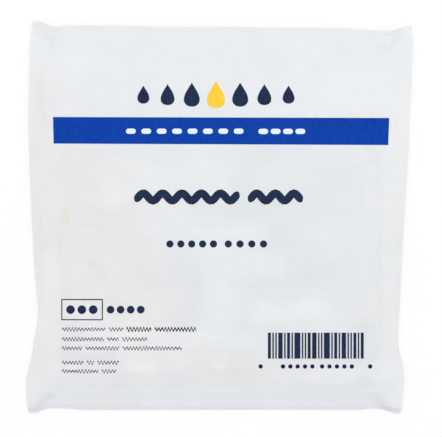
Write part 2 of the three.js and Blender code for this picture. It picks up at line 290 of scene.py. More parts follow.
def layered_noise(x, y, layers):
    """Soft noise of several sizes on top of each other."""
    return sum(
        strength * soft_noise(x / wide, y / high, size, seed) for strength, size, wide, high, seed in layers
    )


left_side = smooth_line(LEFT_SIDE)
right_side = smooth_line(RIGHT_SIDE)
top_edge = smooth_line(TOP_EDGE)
bottom_edge = smooth_line(BOTTOM_EDGE)
front_profile = smooth_line(FRONT_PROFILE)
foot_sway = smooth_line(FOOT_SWAY)


# Shape of the pouch

def side_distance(x, y):
    """How far a place is from the nearer side of the pouch."""
    return np.minimum(x - left_side(y), right_side(y) - x)


def end_distance(x, y):
    """How far a place is from the nearer of the pouch's two welded edges."""
    return np.minimum(y - bottom_edge(x), top_edge(x) - y)


def edge_distance(x, y):
    """How far a place is from the nearest side or edge of the pouch."""
    return np.minimum(side_distance(x, y), end_distance(x, y))


def seam_height(x, y):
    """The edges of the pouch lie a little off the table, not quite level, and droop at the bottom weld."""
    droop = DROOP_MM * ease((DROOP_END_MM - (y - bottom_edge(x))) / DROOP_FADE_MM)
    return SEAM_Z_MM + layered_noise(x, y, SEAM_LAYERS) - droop


def fold_height(x, y, x0, y0, x1, y1, width_left, width_right, height):
    """One fold: a rounded ridge from start to end that wanders a little and fades out at both ends."""
    length = math.hypot(x1 - x0, y1 - y0)
    ux, uy = (x1 - x0) / length, (y1 - y0) / length
    along = (x - x0) * ux + (y - y0) * uy
    wander = FOLD_WANDER_MM * soft_noise(along, 0 * along + x0, 7, 11)
    across = (y - y0) * ux - (x - x0) * uy + wander
    width = np.where(across > 0, width_left, width_right)
    share = along / length
    fade = ease(share / FOLD_FADE_IN + FOLD_LEAD) * ease((1 - share) / FOLD_FADE_OUT)
    return height * fade * np.exp(-((across / width) ** 2))


def strewn_creases():
    """Short fine creases, written as the folds are."""
    draw = np.random.default_rng(CREASE_SEED)
    creases = []
    for _ in range(CREASE_COUNT):
        x = draw.uniform(*CREASE_X_MM)
        y = draw.uniform(*CREASE_Y_MM)
        turn = draw.normal(*CREASE_TURN)
        half = draw.uniform(*CREASE_HALF_LENGTH_MM)
        widths = draw.uniform(*CREASE_WIDTH_MM, 2)
        height = draw.uniform(*CREASE_HEIGHT_MM)
        dx, dy = half * math.cos(turn), half * math.sin(turn)
        creases.append((x - dx, y - dy, x + dx, y + dy, *widths, height))
    return creases


ALL_FOLDS = FOLDS + strewn_creases()


def crumple(x, y):
    """Soft unevenness of film that has been packed, handled and laid flat again."""
    cosine, sine = CRUMPLE_WAY
    along, across = x * cosine + y * sine, y * cosine - x * sine
    return layered_noise(along, across, CRUMPLE_LAYERS) + layered_noise(x, y, FINE_CRUMPLE_LAYERS)


def folds_height(x, y):
    """How far the folds and creases raise the front film. They end at the pouch's edges."""
    inside = ease(edge_distance(x, y) / FOLD_REACH_MM)
    return inside * sum(fold_height(x, y, *fold) for fold in ALL_FOLDS)


def front_height(x, y):
    """Height of the front film's underside over the table."""
    low_down = ease((FOOT_TOP_MM - y) / FOOT_TOP_FADE_MM) * ease((y + HALF_HEIGHT_MM) / FOOT_WELD_FADE_MM)
    stand = front_profile(y + low_down * foot_sway(x)) - SEAM_Z_MM
    sides = np.clip(side_distance(x, y) / (SIDE_WIDTH_MM + SIDE_SPREAD * stand), 0, 1)
    ends = np.clip((end_distance(x, y) - WELD_MM) / PARTING_MM, 0, 1)
    body = seam_height(x, y) + stand * (1 - (1 - sides) ** SIDE_ROUNDNESS) * ends
    return body + ease(edge_distance(x, y) / CRUMPLE_REACH_MM) * crumple(x, y) + folds_height(x, y)


def back_height(x, y):
    """Height of the back film's upper face: flat on the table, lifting to the seam at the edges.

    Next to the welds it is folded with the front film."""
    lift = 1 - ease(edge_distance(x, y) / EDGE_REACH_MM)
    welded = 1 - ease((end_distance(x, y) - WELD_MM) / PARTING_MM)
    return RESTING_MM + (seam_height(x, y) - RESTING_MM) * lift + welded * folds_height(x, y)


def pouch_grid(low, high, step):
    """Places over the whole width of the pouch, from one height of the flat pouch to another.

    The rows stray at the tear line, as the tear does, and follow the welded edges near those."""
    rows = np.linspace(low, high, max(2, round((high - low) / step) + 1))
    across = np.linspace(0, 1, round(WIDTH_MM / step) + 1)
    y = np.repeat(rows[:, None], len(across), axis=1)
    x = left_side(y) + (right_side(y) - left_side(y)) * across
    y = y + layered_noise(x, 0 * x, TEAR_LAYERS) * (1 - ease(np.abs(y - TEAR_LINE_MM) / TEAR_REACH_MM))
    top = ease((y - HALF_HEIGHT_MM + EDGE_REACH_MM) / EDGE_REACH_MM)
    bottom = ease((-y - HALF_HEIGHT_MM + EDGE_REACH_MM) / EDGE_REACH_MM)
    y = y + top * (top_edge(x) - HALF_HEIGHT_MM) + bottom * (bottom_edge(x) + HALF_HEIGHT_MM)
    x = left_side(y) + (right_side(y) - left_side(y)) * across
    return x, y


# How light the front film is painted, with painted light and shade, and how grey and warm it looks

def stroke(x, y, x0, y0, x1, y1, half_width):
    """1 along the line from start to end, and down to a half at its half width, with ragged sides."""
    ragged = min(1.0, half_width / RAGGED_FROM_MM)
    x = x + ragged * layered_noise(x, y, RAGGED_X_LAYERS)
    y = y + ragged * layered_noise(x, y, RAGGED_Y_LAYERS)
    length_2 = (x1 - x0) ** 2 + (y1 - y0) ** 2
    share = np.clip(((x - x0) * (x1 - x0) + (y - y0) * (y1 - y0)) / length_2, 0, 1)
    away = np.hypot(x - x0 - share * (x1 - x0), y - y0 - share * (y1 - y0))
    return ease(1.25 - 0.75 * away / half_width)


def strongest(x, y, strokes):
    """The strongest of several strokes at each place."""
    return np.maximum.reduce([share * stroke(x, y, *place) for *place, share in strokes])


def cloud_and_painted_shade(x, y):
    """How light the front film is painted, from 0 to 1: painted light and shade from the strokes, over its
    own cloudiness.
    """
    # Painted light and shade, in strokes
    painted_shade = sum(light * stroke(x, y, *place) for *place, light in PAINTED_LIGHT_AND_SHADE)
    cloud = layered_noise(x, y, CLOUD_LAYERS)
    return np.clip(MIDDLE_TONE + PAINTED_SHADE_STRENGTH * painted_shade + CLOUD_TONE * cloud, 0, 1)


def film_greyness(x, y):
    """How far the front film is from blue to grey, from 0 to 1."""
    return np.clip(strongest(x, y, NEUTRAL) + layered_noise(x, y, GREY_LAYERS), 0, 1)


def film_warmth(x, y):
    """How far the front film is tinged, from 0 to 1."""
    return strongest(x, y, WARM)


# Meshes

def placed(name, data, place=(0, 0, 0)):
    thing = bpy.data.objects.new(name, data)
    thing.location = place
    bpy.context.scene.collection.objects.link(thing)
    return thing


def mesh_object(name, points, faces, inner, *materials):
    """A piece from points in mm. Where there is a second material, it goes on the inner faces."""
    mesh = bpy.data.meshes.new(name)
    mesh.from_pydata((np.asarray(points) * MM).tolist(), [], np.asarray(faces).tolist())
    mesh.polygons.foreach_set("use_smooth", [True] * len(mesh.polygons))
    mesh.set_sharp_from_angle(angle=math.radians(SHARP_DEGREES))
    for material in materials:
        mesh.materials.append(material)
    if len(materials) > 1:
        mesh.polygons.foreach_set("material_index", inner.astype(int))
    return placed(name, mesh)


def unit_normals(points, closed):
    """Normals of a grid of points, column way crossed with row way."""
    if closed:
        along_rows = np.roll(points, -1, axis=0) - np.roll(points, 1, axis=0)
    else:
        along_rows = np.gradient(points, axis=0)
    along_columns = np.gradient(points, axis=1)
    normals = np.cross(along_columns, along_rows)
    return normals / np.maximum(np.linalg.norm(normals, axis=2, keepdims=True), 1e-12)


def shell_parts(points, thickness, closed=False):
    """Vertices and faces of a thin sheet over a grid of points, which lie on its outer face.

    A closed sheet's last row meets its first. The last value says which faces are on the inner side."""
    rows, columns = points.shape[:2]
    inner = points - unit_normals(points, closed) * thickness
    vertices = np.concatenate([points.reshape(-1, 3), inner.reshape(-1, 3)])
    number = np.arange(rows * columns).reshape(rows, columns)
    if closed:
        number = np.vstack([number, number[:1]])
    a, b = number[:-1, :-1].ravel(), number[:-1, 1:].ravel()
    c, d = number[1:, 1:].ravel(), number[1:, :-1].ravel()
    size = rows * columns
    faces = [np.stack([a, b, c, d], 1), np.stack([a, d, c, b], 1) + size]
    sides = [(number[1:, -1], number[:-1, -1]), (number[:-1, 0], number[1:, 0])]
    if not closed:
        sides += [(number[0, 1:], number[0, :-1]), (number[-1, :-1], number[-1, 1:])]
    for p, q in sides:
        faces.append(np.stack([p, q, q + size, p + size], 1))
    faces = np.concatenate(faces)
    inner = np.zeros(len(faces), bool)
    inner[len(a):2 * len(a)] = True
    return vertices, faces, inner


def ring_parts(points):
    """Vertices and faces of a closed ring, from rows of points that each go once round its section."""
    rows, columns = points.shape[:2]
    a = np.arange(rows * columns).reshape(rows, columns)
    b = np.roll(a, -1, axis=1)
    c, d = np.roll(b, -1, axis=0), np.roll(a, -1, axis=0)
    faces = np.stack([a, b, c, d], 2).reshape(-1, 4)
    return points.reshape(-1, 3), faces, np.zeros(len(faces), bool)


def joined_parts(parts):
    vertices, faces, inner, count = [], [], [], 0
    for part_vertices, part_faces, part_inner in parts:
        vertices.append(part_vertices)
        faces.append(part_faces + count)
        inner.append(part_inner)
        count += len(part_vertices)
    return np.concatenate(vertices), np.concatenate(faces), np.concatenate(inner)


# Materials

# Blown film has streaks from its die about 0.5 mm apart, and a haze finer than 0.1 mm. Both are drawn
# coarser, to show at all
STREAK_MM = 1.6
HAZE_MM = 0.5
POLYETHYLENE_IOR = 1.51


def linear(hex_colour):
    """An sRGB hex colour as linear RGBA."""
    parts = [int(hex_colour[i:i + 2], 16) / 255 for i in (1, 3, 5)]
    return [p / 12.92 if p <= 0.04045 else ((p + 0.055) / 1.055) ** 2.4 for p in parts] + [1]


def add(tree, kind, inputs=(), **settings):
    """A node with its settings, and with each input either set or linked."""
    node = tree.nodes.new(kind)
    for name, value in settings.items():
        setattr(node, name, value)
    for key, value in inputs:
        if isinstance(value, bpy.types.NodeSocket):
            tree.links.new(value, node.inputs[key])
        else:
            node.inputs[key].default_value = value
    return node


def new_material(name):
    material = bpy.data.materials.new(name)
    material.use_nodes = True
    material.node_tree.nodes.clear()
    return material, material.node_tree


def surfaced(material, inputs):
    """The material, once it has a surface with these inputs."""
    tree = material.node_tree
    shader = add(tree, "ShaderNodeBsdfPrincipled", inputs)
    add(tree, "ShaderNodeOutputMaterial", [("Surface", shader.outputs[0])])
    return material


def pattern(tree, size_mm, detail=3, stretch=(1, 1, 1)):
    """Noise whose lumps are about size_mm across, stretched along the object's own axes."""
    place = add(tree, "ShaderNodeTexCoord")
    mapped = add(tree, "ShaderNodeMapping", [("Vector", place.outputs["Object"]), ("Scale", stretch)])
    noise = add(
        tree, "ShaderNodeTexNoise",
        [("Vector", mapped.outputs[0]), ("Scale", 1 / (size_mm * MM)), ("Detail", detail)],
    )
    return noise.outputs[0]


def two_colours(tree, value, hex_low, hex_high, low=0, high=1):
    """A colour that goes from one hex colour to another as a value goes from low to high."""
    share = add(tree, "ShaderNodeMapRange", [("Value", value), ("From Min", low), ("From Max", high)])
    blend = add(
        tree, "ShaderNodeMix",
        [(0, share.outputs[0]), (6, linear(hex_low)), (7, linear(hex_high))], data_type="RGBA",
    )
    return blend.outputs[2]


def sheen_and_relief(tree, sheen, smooth, rough, relief, height_mm, strength):
    """Inputs of a surface that is rougher where one pattern is strong and higher where another is."""
    roughness = add(
        tree, "ShaderNodeMapRange",
        [("Value", sheen), ("From Min", 0.3), ("From Max", 0.7), ("To Min", smooth), ("To Max", rough)],
    )
    normal = add(
        tree, "ShaderNodeBump", [("Height", relief), ("Distance", height_mm * MM), ("Strength", strength)],
    )
    return [("Roughness", roughness.outputs[0]), ("Normal", normal.outputs[0])]


def blown_film_surface(tree, roughness, alpha):
    """What all blown polyethylene film gives the eye: a soft sheen with faint streaks along the tube."""
    streak = pattern(tree, STREAK_MM, 2, (1, 0.08, 1))
    haze = pattern(tree, HAZE_MM, 3)
    relief = add(tree, "ShaderNodeMix", [(0, 0.5), (2, streak), (3, haze)])
    inputs = sheen_and_relief(tree, streak, roughness - 0.05, roughness + 0.07, relief.outputs[0], 0.02, 0.35)
    return inputs + [("IOR", POLYETHYLENE_IOR), ("Specular IOR Level", 0.35), ("Alpha", alpha)]


def pouch_film(name, roughness, alpha):
    """Low-density polyethylene with a white tint, blown as a tube.

    It gives the eye a cool, milky film with painted light and shade, lighter and darker in patches, and
    greyer or warmer in places. Those three are read from the film's own points."""
    material, tree = new_material(name)
    shade_and_cloud, greyness, warmth = (
        add(tree, "ShaderNodeAttribute", attribute_name=quality.__name__).outputs["Fac"]
        for quality in (cloud_and_painted_shade, film_greyness, film_warmth)
    )
    # Painted light and shade: the film's colour runs from darker to lighter with it.
    blue = two_colours(tree, shade_and_cloud, "#EBEFF5", "#F9FDFF")
    grey = two_colours(tree, shade_and_cloud, "#EDEDED", "#FDFDFD")
    cool = add(tree, "ShaderNodeMix", [(0, greyness), (6, blue), (7, grey)], data_type="RGBA")
    inputs = [(0, warmth), (6, cool.outputs[2]), (7, linear("#EEF2CC"))]
    colour = add(tree, "ShaderNodeMix", inputs, data_type="RGBA").outputs[2]
    return surfaced(material, [("Base Color", colour)] + blown_film_surface(tree, roughness, alpha))


def crinkled_film(name, roughness, alpha):
    """High-density polyethylene, blown very thin and folded small.

    It gives the eye a clear, papery film whose plies add up to a white with a cool cloudiness, about as
    wide as the packet's folds are apart, and a crisp sheen on its creases."""
    material, tree = new_material(name)
    colour = two_colours(tree, pattern(tree, 22, 2), "#F3F6FA", "#FCFDFF", 0.35, 0.65)
    return surfaced(material, [("Base Color", colour)] + blown_film_surface(tree, roughness, alpha))


def printed_ink(name, colour, thin):
    """Flexographic ink on film.

    It gives the eye a flat, crisp colour with a low satin sheen, a touch lighter in patches of 1.1 mm
    where the plate laid it thinner. The plate's own grain, about 0.1 mm, is drawn at 0.25 mm to show."""
    material, tree = new_material(name)
    lay = two_colours(tree, pattern(tree, 1.1, 4), colour, thin, 0.35, 0.7)
    grain = pattern(tree, 0.25, 2)
    return surfaced(
        material,
        [("Base Color", lay), ("IOR", 1.5), ("Specular IOR Level", 0.06)]
        + sheen_and_relief(tree, grain, 0.42, 0.52, grain, 0.006, 0.3),
    )


def welded_film(name):
    """Two films melted together by a hot bar.

    They give the eye a clearer and slightly greyer line than the film's, shinier, with the bar's fine
    ribs along it, 0.45 mm apart as on such a bar."""
    material, tree = new_material(name)
    ribs = pattern(tree, 0.45, 1, (0.12, 1, 1))
    # The weld is painted lighter or darker with the front film's painted light and shade, darkest along the
    # bottom edge.
    shade_and_cloud = add(tree, "ShaderNodeAttribute", attribute_name=cloud_and_painted_shade.__name__).outputs["Fac"]
    colour = two_colours(tree, shade_and_cloud, "#E1E2E5", "#F5F6F9")
    return surfaced(
        material,
        [("Base Color", colour), ("IOR", POLYETHYLENE_IOR), ("Alpha", 0.88)]
        + sheen_and_relief(tree, ribs, 0.28, 0.4, ribs, 0.03, 0.5),
    )


def wound_cord(name):
    """Rubber strands wound with thin yarn.

    They give the eye a matt, off-white cord, ribbed by the winding. The yarn is about 0.15 mm thick, and
    is drawn at 0.3 mm to show."""
    material, tree = new_material(name)
    yarn = pattern(tree, 0.3, 2)
    return surfaced(
        material,
        [("Base Color", two_colours(tree, yarn, "#DEDBD0", "#F6F4EE"))]
        + sheen_and_relief(tree, yarn, 0.65, 0.85, yarn, 0.08, 0.6),
    )


def seen_rays(tree):
    """1 for what the camera sees straight, in a gloss or through the film, and 0 for light on the object."""
    rays = add(tree, "ShaderNodeLightPath").outputs
    seen = rays["Is Camera Ray"]
    for ray in ("Is Glossy Ray", "Is Transmission Ray"):
        seen = add(tree, "ShaderNodeMath", [(0, seen), (1, rays[ray])], operation="MAXIMUM").outputs[0]
    return seen


def white_paper(name):
    """Smooth matt paper, rolled out as a sweep. It takes the pouch's soft shadow and is seen near white."""
    material, tree = new_material(name)
    colour = two_colours(tree, pattern(tree, 60, 2), "#FBFBFB", "#FEFEFE", 0.3, 0.7)
    paper = add(tree, "ShaderNodeBsdfPrincipled", [("Base Color", colour), ("Roughness", 0.9)])
    white = add(tree, "ShaderNodeEmission", [("Color", linear("#FEFEFE")), ("Strength", 1.0)])
    share = add(tree, "ShaderNodeMath", [(0, seen_rays(tree)), (1, SEEN_AS_WHITE)], operation="MULTIPLY")
    sweep = add(
        tree, "ShaderNodeMixShader", [(0, share.outputs[0]), (1, paper.outputs[0]), (2, white.outputs[0])],
    )
    add(tree, "ShaderNodeOutputMaterial", [("Surface", sweep.outputs[0])])
    return material


# Stage

FLOOR_HALF_M = 1.5
FLOOR_DROP_MM = 0.05
SEEN_AS_WHITE = 0.78
WORLD_LIGHT = 0.9
LAMP_PLACE_M = (0.08, 0.2, 0.6)
LAMP_SIZE_M = 0.45
LAMP_WATTS = 0.7


def make_camera():
    """Straight above, and so far off that the pouch is seen without perspective."""
    camera = bpy.data.cameras.new("camera")
    camera.sensor_width = SENSOR_MM
    camera.lens = SENSOR_MM * CAMERA_HEIGHT_MM / (PHOTO_WIDTH_PX * MM_PER_PX)
    camera.clip_end = 100
    place = (VIEW_MIDDLE_MM[0] * MM, VIEW_MIDDLE_MM[1] * MM, CAMERA_HEIGHT_MM * MM)
    bpy.context.scene.camera = placed("camera", camera, place)


def make_floor():
    """The table, a hair under the back film."""
    half = FLOOR_HALF_M
    corners = [(-half, -half, 0), (half, -half, 0), (half, half, 0), (-half, half, 0)]
    mesh = bpy.data.meshes.new("floor")
    mesh.from_pydata(corners, [], [(0, 1, 2, 3)])
    mesh.materials.append(white_paper("white_paper_sweep"))
    floor = placed("floor", mesh, (0, 0, -FLOOR_DROP_MM * MM))


def make_light():
    """An even white studio, and a soft box behind the pouch's top edge."""
    world = bpy.data.worlds.new("studio")
    world.use_nodes = True
    tree = world.node_tree
    tree.nodes.clear()
    strength = add(
        tree, "ShaderNodeMapRange", [("Value", seen_rays(tree)), ("To Min", WORLD_LIGHT), ("To Max", 1.0)],
    )
    sky = add(
        tree, "ShaderNodeBackground", [("Color", linear("#FFFFFF")), ("Strength", strength.outputs[0])],
    )
    add(tree, "ShaderNodeOutputWorld", [("Surface", sky.outputs[0])])
    bpy.context.scene.world = world
    lamp = bpy.data.lights.new("soft_box", "AREA")
    lamp.shape = "DISK"
    lamp.size = LAMP_SIZE_M
    lamp.energy = LAMP_WATTS
    holder = placed("soft_box", lamp, LAMP_PLACE_M)
    holder.rotation_euler = (-holder.location).to_track_quat("-Z", "Y").to_euler()
    bpy.context.scene.view_settings.view_transform = "Standard"


make_camera()
make_floor()
make_light()

milky_film = pouch_film("ldpe_film_blown_milky", 0.42, 0.76)
clear_film = pouch_film("ldpe_film_blown_inner_face", 0.3, 0.14)
weld = welded_film("ldpe_film_heat_welded")
cap_film = crinkled_film("hdpe_film_crinkled_outer_face", 0.3, 0.72)
cap_film_inside = crinkled_film("hdpe_film_crinkled_inner_face", 0.3, 0.14)
blue_ink = printed_ink("flexo_ink_blue", "#003B9F", "#0642A9")
navy_ink = printed_ink("flexo_ink_navy", "#1A2845", "#233250")
grey_ink = printed_ink("flexo_ink_fine_print", "#1B2140", "#282E4C")
white_ink = printed_ink("flexo_ink_white", "#DEECF8", "#E8F4FF")
yellow_ink = printed_ink("flexo_ink_yellow", "#FAC92E", "#FAD24E")
elastic = wound_cord("rubber_cord_yarn_wound")


# Pouch

WELD_GRID_MM = 0.26
RIB_HEIGHT_MM = 0.008
RIB_PITCH_MM = 0.65


def give_qualities(piece, x, y, *qualities):
    """How light (with painted light and shade), grey or warm a film is at each of its points, for its
    material to read.
    """
    for quality in qualities:
        layer = piece.data.attributes.new(quality.__name__, "FLOAT", "POINT")
        layer.data.foreach_set("value", np.tile(quality(x, y).ravel(), 2))


def film_sheet(name, low, high, step, height):
    """One film of the pouch: milky on its outer face, clear on its inner one."""
    x, y = pouch_grid(low, high, step)
    points = np.stack([x, y, height(x, y)], 2)
    piece = mesh_object(name, *shell_parts(points, FILM_MM), milky_film, clear_film)
    give_qualities(piece, x, y, cloud_and_painted_shade, film_greyness, film_warmth)
    return piece


def outer_face(x, y):
    return front_height(x, y) + FILM_MM


def sinks_with_the_cap(piece):
    """Puts a piece of the pouch or its print on the pouch's body, with a mesh of its own."""
    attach(piece, "pouch")
    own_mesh(piece)


front = film_sheet("front_film_sheet", BOTTOM_MM, TEAR_LINE_MM, GRID_MM, outer_face)
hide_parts("front_film")
sinks_with_the_cap(front)

back = film_sheet("back_film_sheet", BOTTOM_MM, TEAR_LINE_MM, 2 * GRID_MM, back_height)
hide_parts("back_film")
sinks_with_the_cap(back)

strip_front = film_sheet("strip_front_sheet", TEAR_LINE_MM, TOP_MM, GRID_MM, outer_face)
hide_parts("strip_front_film")
strip_back = film_sheet("strip_back_sheet", TEAR_LINE_MM, TOP_MM, 2 * GRID_MM, back_height)
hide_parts("strip_back_film")
for film in (strip_front, strip_back):
    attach(film, "tear_strip")


def weld_line(name, low, high, node):
    """Both films welded together along an edge of the pouch, with the fine ribs of the hot bar."""
    x, y = pouch_grid(low, high, WELD_GRID_MM)
    ribs = RIB_HEIGHT_MM * np.cos((y - low) * 2 * np.pi / RIB_PITCH_MM)
    points = np.stack([x, y, outer_face(x, y) + ribs], 2)
    piece = mesh_object(name, *shell_parts(points, 2 * FILM_MM), weld)
    give_qualities(piece, x, y, cloud_and_painted_shade)
    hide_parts(node)
    return piece


bottom_weld = weld_line("bottom_weld_line", -HALF_HEIGHT_MM, BOTTOM_MM, "bottom_seal")
sinks_with_the_cap(bottom_weld)
top_weld = weld_line("top_weld_line", TOP_MM, HALF_HEIGHT_MM, "top_seal")
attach(top_weld, "tear_strip")


# Print. Every place and size in it is in mm on the pouch

# How thick the ink is, how far its face lies over the film, and the same for white ink over the blue band
INK_MM = 0.012
INK_LIFT_MM = 0.03
OVER_BAND_MM = 2.2 * INK_LIFT_MM


def ink_sheet(x, y, lift=INK_LIFT_MM):
    """A thin sheet of ink that follows the film."""
    return shell_parts(np.stack([x, y, outer_face(x, y) + lift], 2), INK_MM)


def ink_block(x0, x1, y0, y1):
    columns = max(2, round((x1 - x0) / GRID_MM) + 1)
    rows = max(2, round((y1 - y0) / GRID_MM) + 1)
    x, y = np.meshgrid(np.linspace(x0, x1, columns), np.linspace(y0, y1, rows))
    return ink_sheet(x, y)


def ink_stroke(x0, x1, y, height, lift=INK_LIFT_MM, wave=0.0, wave_length=1.0):
    """A printed bar with round ends, straight or waved, or a dot where it is no longer than it is high."""
    half = height / 2
    steps = max(2, round((x1 - x0) / GRID_MM)) if x1 - x0 > height + INK_MM else 1
    straight = np.linspace(x0 + half, x1 - half, steps)
    turn = np.linspace(0.12, np.pi / 2, 5)
    opening, closing = turn[:-1], turn[-2::-1]
    columns = np.concatenate(
        [x0 + half - half * np.cos(opening), straight, x1 - half + half * np.cos(closing)],
    )
    halves = np.concatenate([half * np.sin(opening), np.full(steps, half), half * np.sin(closing)])
    phase = 2 * np.pi * (columns - x0 - half) / wave_length
    tilt = np.arctan(wave * np.cos(phase) * 2 * np.pi / wave_length)
    across = np.linspace(-1, 1, max(3, round(height / GRID_MM) + 1))[:, None] * halves
    x = columns - across * np.sin(tilt)
    return ink_sheet(x, y + wave * np.sin(phase) + across * np.cos(tilt), lift)


def ink_drop(x, y, half_height):
    """A printed water drop, round below and drawn to a point above."""
    turn = np.linspace(0.97 * np.pi, 0.03 * np.pi, 25)[:, None]
    half_width = 0.92 * half_height * np.sin(turn) * np.sin(turn / 2) ** 1.4
    across = np.linspace(-1, 1, 9)[None]
    return ink_sheet(x + half_width * across, y + half_height * np.cos(turn) + 0 * across)


def ink_band(bottom, top):
    """A printed band between two lines, each given by its left and right end."""
    across = np.linspace(0, 1, 180)[None, :, None]
    up = np.linspace(0, 1, 16)[:, None, None]
    low, high = ((1 - across) * np.array(left) + across * np.array(right) for left, right in (bottom, top))
    place = low * (1 - up) + high * up
    return ink_sheet(place[..., 0], place[..., 1])


def dot_row(x0, x1, y, diameter, count, lift=INK_LIFT_MM, length=0.0):
    """Evenly spaced dots, or dashes that are longer than they are high by a length."""
    pitch = (x1 - x0 - diameter - length) / (count - 1)
    starts = [x0 + i * pitch for i in range(count)]
    return [ink_stroke(start, start + diameter + length, y, diameter, lift) for start in starts]


def frame_bars(x0, x1, y0, y1, line):
    return [
        ink_block(x0, x1, y1 - line, y1), ink_block(x0, x1, y0, y0 + line),
        ink_block(x0, x0 + line, y0 + line, y1 - line), ink_block(x1 - line, x1, y0 + line, y1 - line),
    ]


def fine_wave(x0, x1, y, height, swing):
    """A fine printed zigzag, not quite even. It is as high everywhere, and swings up and down."""
    x = np.linspace(x0, x1, round((x1 - x0) / WAVE_STEP_MM) + 1)
    turn = 2 * np.pi * (x - x0) / WAVE_LENGTH_MM + 0.9 * soft_noise(x, 0 * x + y, 1.9, 91)
    middle = y + swing * np.sin(turn) * (1 + 0.35 * soft_noise(x, 0 * x + y, 1.3, 92))
    return ink_sheet(np.tile(x, (3, 1)), middle + np.array([[-0.5], [0], [0.5]]) * height)


def fine_line(x0, x1, y, height, swing, shares):
    """A line of fine waves, as long as shares of the line, with gaps between them."""
    room = (x1 - x0) - WAVE_GAP_MM * (len(shares) - 1)
    waves, x = [], x0
    for share in shares:
        width = room * share / sum(shares)
        waves.append(fine_wave(x, x + width, y, height, swing))
        x += width + WAVE_GAP_MM
    return waves


def print_piece(name, parts, material):
    piece = mesh_object(name, *joined_parts(parts), material)
    sinks_with_the_cap(piece)
    return piece


# Corners of the band: the film is drawn in below it, so it isn't quite a rectangle
BAND_TOP = ((-44.09, 26.45), (44.82, 26.2))
BAND_BOTTOM = ((-43.91, 19.43), (44.53, 19.04))

blue_band = print_piece("blue_band_print", [ink_band(BAND_BOTTOM, BAND_TOP)], blue_ink)
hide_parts("printed_band")

# White dashes in the band, in two groups
DASH_HEIGHT_MM = 1.4
DASH_LENGTH_MM = 1.2
white_marks = dot_row(-24.8, 6.3, 22.7, DASH_HEIGHT_MM, 8, OVER_BAND_MM, DASH_LENGTH_MM)
white_marks += dot_row(10.2, 22.6, 22.65, DASH_HEIGHT_MM, 4, OVER_BAND_MM, DASH_LENGTH_MM)
print_piece("white_marks_print", white_marks, white_ink)

# Half heights of the seven drops over the band, the middle one yellow
DROPS_MM = (2.4, 2.8, 3.2, 3.6, 3.2, 2.8, 2.4)
YELLOW_DROP = 3
DROP_PITCH_MM = 6.4
DROPS_X_MM, DROPS_Y_MM = -1, 32.4


def navy_marks():
    """The other drops, a waved line in two lengths, dots in two groups, and dots beside framed ones."""
    marks = [
        ink_drop(DROPS_X_MM + (i - YELLOW_DROP) * DROP_PITCH_MM, DROPS_Y_MM, size)
        for i, size in enumerate(DROPS_MM) if i != YELLOW_DROP
    ]
    marks.append(ink_stroke(-22.5, 5.2, 5.3, 2.1, wave=1.0, wave_length=5.1))
    marks.append(ink_stroke(7.5, 21.9, 5.3, 2.1, wave=1.0, wave_length=4.9))
    marks += dot_row(-14.1, -0.7, -7.1, 1.9, 5) + dot_row(1.3, 12.5, -7.1, 1.9, 4)
    marks += frame_bars(-41.8, -30.8, -27.2, -21.6, 0.28)
    marks += dot_row(-40.5, -32.2, -24.4, 2.3, 3) + dot_row(-29.8, -19.8, -24.4, 2.05, 4)
    return marks


print_piece("yellow_drop_print", [ink_drop(DROPS_X_MM, DROPS_Y_MM, DROPS_MM[YELLOW_DROP])], yellow_ink)
print_piece("navy_print", navy_marks(), navy_ink)

# Fine waved lines. Plain and bold ones have a height of the band of ink, and a swing
WAVE_STEP_MM = 0.09
WAVE_LENGTH_MM = 0.86
WAVE_GAP_MM = 0.9
PLAIN = (0.36, 0.36)
BOLD = (0.58, 0.42)

# Left end, right end, Y, plain or bold, and the shares that each line's waves take
FINE_LINES = [
    (-41.6, -25.4, -29.6, PLAIN, (6, 2)),
    (-24.6, -6.2, -29.6, BOLD, (3, 5)),
    (-41.6, -19.1, -32.2, PLAIN, (5, 1.4, 3)),
    (-41.6, -10.0, -34.6, PLAIN, (2.4, 4, 7)),
    (-41.6, -26.6, -38.4, PLAIN, (3, 1, 3)),
    (-41.6, -27.3, -40.7, PLAIN, (5, 2)),
]

# Dots under the stripes: two rows of five, and one further out on either side
DOT_MM = 1.16
DOTS_Y_MM = -39.4
DOT_ROWS_X_MM = ((16.1, 25.0), (26.4, 35.4))
OUTER_DOTS_X_MM = (10.2, 39.1)


def small_marks():
    """The fine waved lines, and the dots under the stripes."""
    marks = []
    for x0, x1, y, look, shares in FINE_LINES:
        marks += fine_line(x0, x1, y, *look, shares)
    for x0, x1 in DOT_ROWS_X_MM:
        marks += dot_row(x0, x1, DOTS_Y_MM, DOT_MM, 5)
    return marks + [ink_stroke(x, x + DOT_MM, DOTS_Y_MM, DOT_MM) for x in OUTER_DOTS_X_MM]


print_piece("fine_waves_print", small_marks(), grey_ink)

# A block of stripes of four widths with even gaps, in an order of its own
STRIPES = (2, 1, 1, 3, 1, 2, 1, 4, 1, 1, 2, 3, 1, 1, 4, 1, 2, 1, 3, 1, 1, 2, 1, 2)
STRIPE_MM = 0.392
STRIPES_LEFT_MM = 12.7
STRIPES_WIDTH_MM = 25.24
STRIPES_BOTTOM_MM, STRIPES_TOP_MM = -37.32, -30.47


def stripe_block():
    gap = (STRIPES_WIDTH_MM - STRIPE_MM * sum(STRIPES)) / (len(STRIPES) - 1)
    stripes, x = [], STRIPES_LEFT_MM
    for width in STRIPES:
        stripes.append(ink_block(x, x + STRIPE_MM * width, STRIPES_BOTTOM_MM, STRIPES_TOP_MM))
        x += STRIPE_MM * width + gap
    return stripes


print_piece("stripe_block_print", stripe_block(), navy_ink)


# Folded cap

